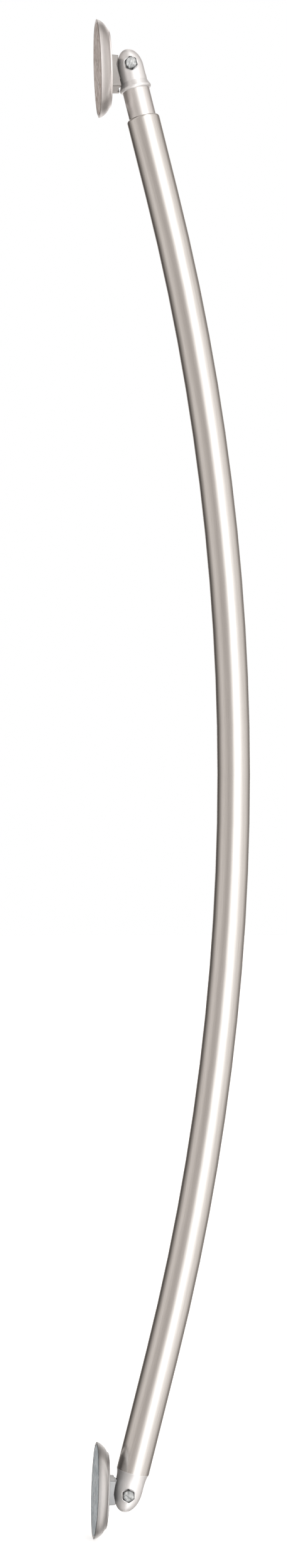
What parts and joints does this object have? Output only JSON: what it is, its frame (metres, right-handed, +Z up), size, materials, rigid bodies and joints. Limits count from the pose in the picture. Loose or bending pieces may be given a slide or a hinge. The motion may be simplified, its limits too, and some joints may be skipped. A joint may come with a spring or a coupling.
{
  "type": "curved wall rail",
  "caption": "Bowed telescoping tube in satin nickel with a forked fitting at each end, in which a dished round wall flange swings on a slotted hexagon bolt.",
  "frame": {"origin": "centre of the lower flange's wall face", "axes": "+Z up along the rail's chord to the upper flange; +X away from the wall faces, the way the rail bows; +Y along the pivot bolts, from their heads to their nuts"},
  "size_m": [0.1519, 0.0916, 1.4557],
  "materials": {
    "satin_tube": "satin nickel, brushed along the tube",
    "satin_casting": "satin nickel on a smooth casting",
    "satin_cover": "satin nickel, spun",
    "lower_plate_zinc": "bluish zinc plate, stamped",
    "upper_plate_zinc": "warm grey zinc plate, stamped",
    "bolt_steel": "machined steel, dark in its corners",
    "bright_zinc": "bright zinc plate",
    "grey_nylon": "dark grey moulded nylon",
    "white_nylon": "natural white nylon"
  },
  "bodies": {
    "lower_flange": {"lower_mounting_plate": "lower_plate_zinc", "lower_flange_cover": "satin_cover", "lower_tongue": "satin_casting", "lower_plate_screws": "bright_zinc"},
    "rail": {"outer_tube": "satin_tube", "guide_bush": "grey_nylon", "lower_fork": "satin_casting", "lower_pivot_bolt": "bolt_steel", "lower_lock_nut": "bright_zinc", "lower_nut_insert": "white_nylon", "lower_friction_washers": "white_nylon"},
    "glide": {"end_glide": "grey_nylon"},
    "extension": {"extension_tube": "satin_tube", "upper_fork": "satin_casting", "upper_pivot_bolt": "bolt_steel", "upper_lock_nut": "bright_zinc", "upper_nut_insert": "white_nylon", "upper_friction_washers": "white_nylon"},
    "upper_flange": {"upper_mounting_plate": "upper_plate_zinc", "upper_flange_cover": "satin_cover", "upper_tongue": "satin_casting", "upper_plate_screws": "bright_zinc"}
  },
  "joints": [
    {"name": "lower_flange_pivot", "type": "hinge", "parent": "lower_flange", "child": "rail", "pos_m": [0.0314, 0, -0.00283], "axis": [0, 1, 0], "range_deg": [-0.9, 158]},
    {"name": "extension_slide", "type": "slide", "parent": "rail", "child": "glide", "axis": [-0.2445, 0, 0.9697], "range_m": [-0.02, 0.05]},
    {"name": "extension_turn", "type": "hinge", "parent": "glide", "child": "extension", "pos_m": [0.04619, 0, 1.31796], "axis": [-0.2445, 0, 0.9697], "continuous": true},
    {"name": "upper_flange_pivot", "type": "hinge", "parent": "extension", "child": "upper_flange", "pos_m": [0.03385, 0, 1.36693], "axis": [0, 1, 0], "range_deg": [-0.9, 158]}
  ]
}
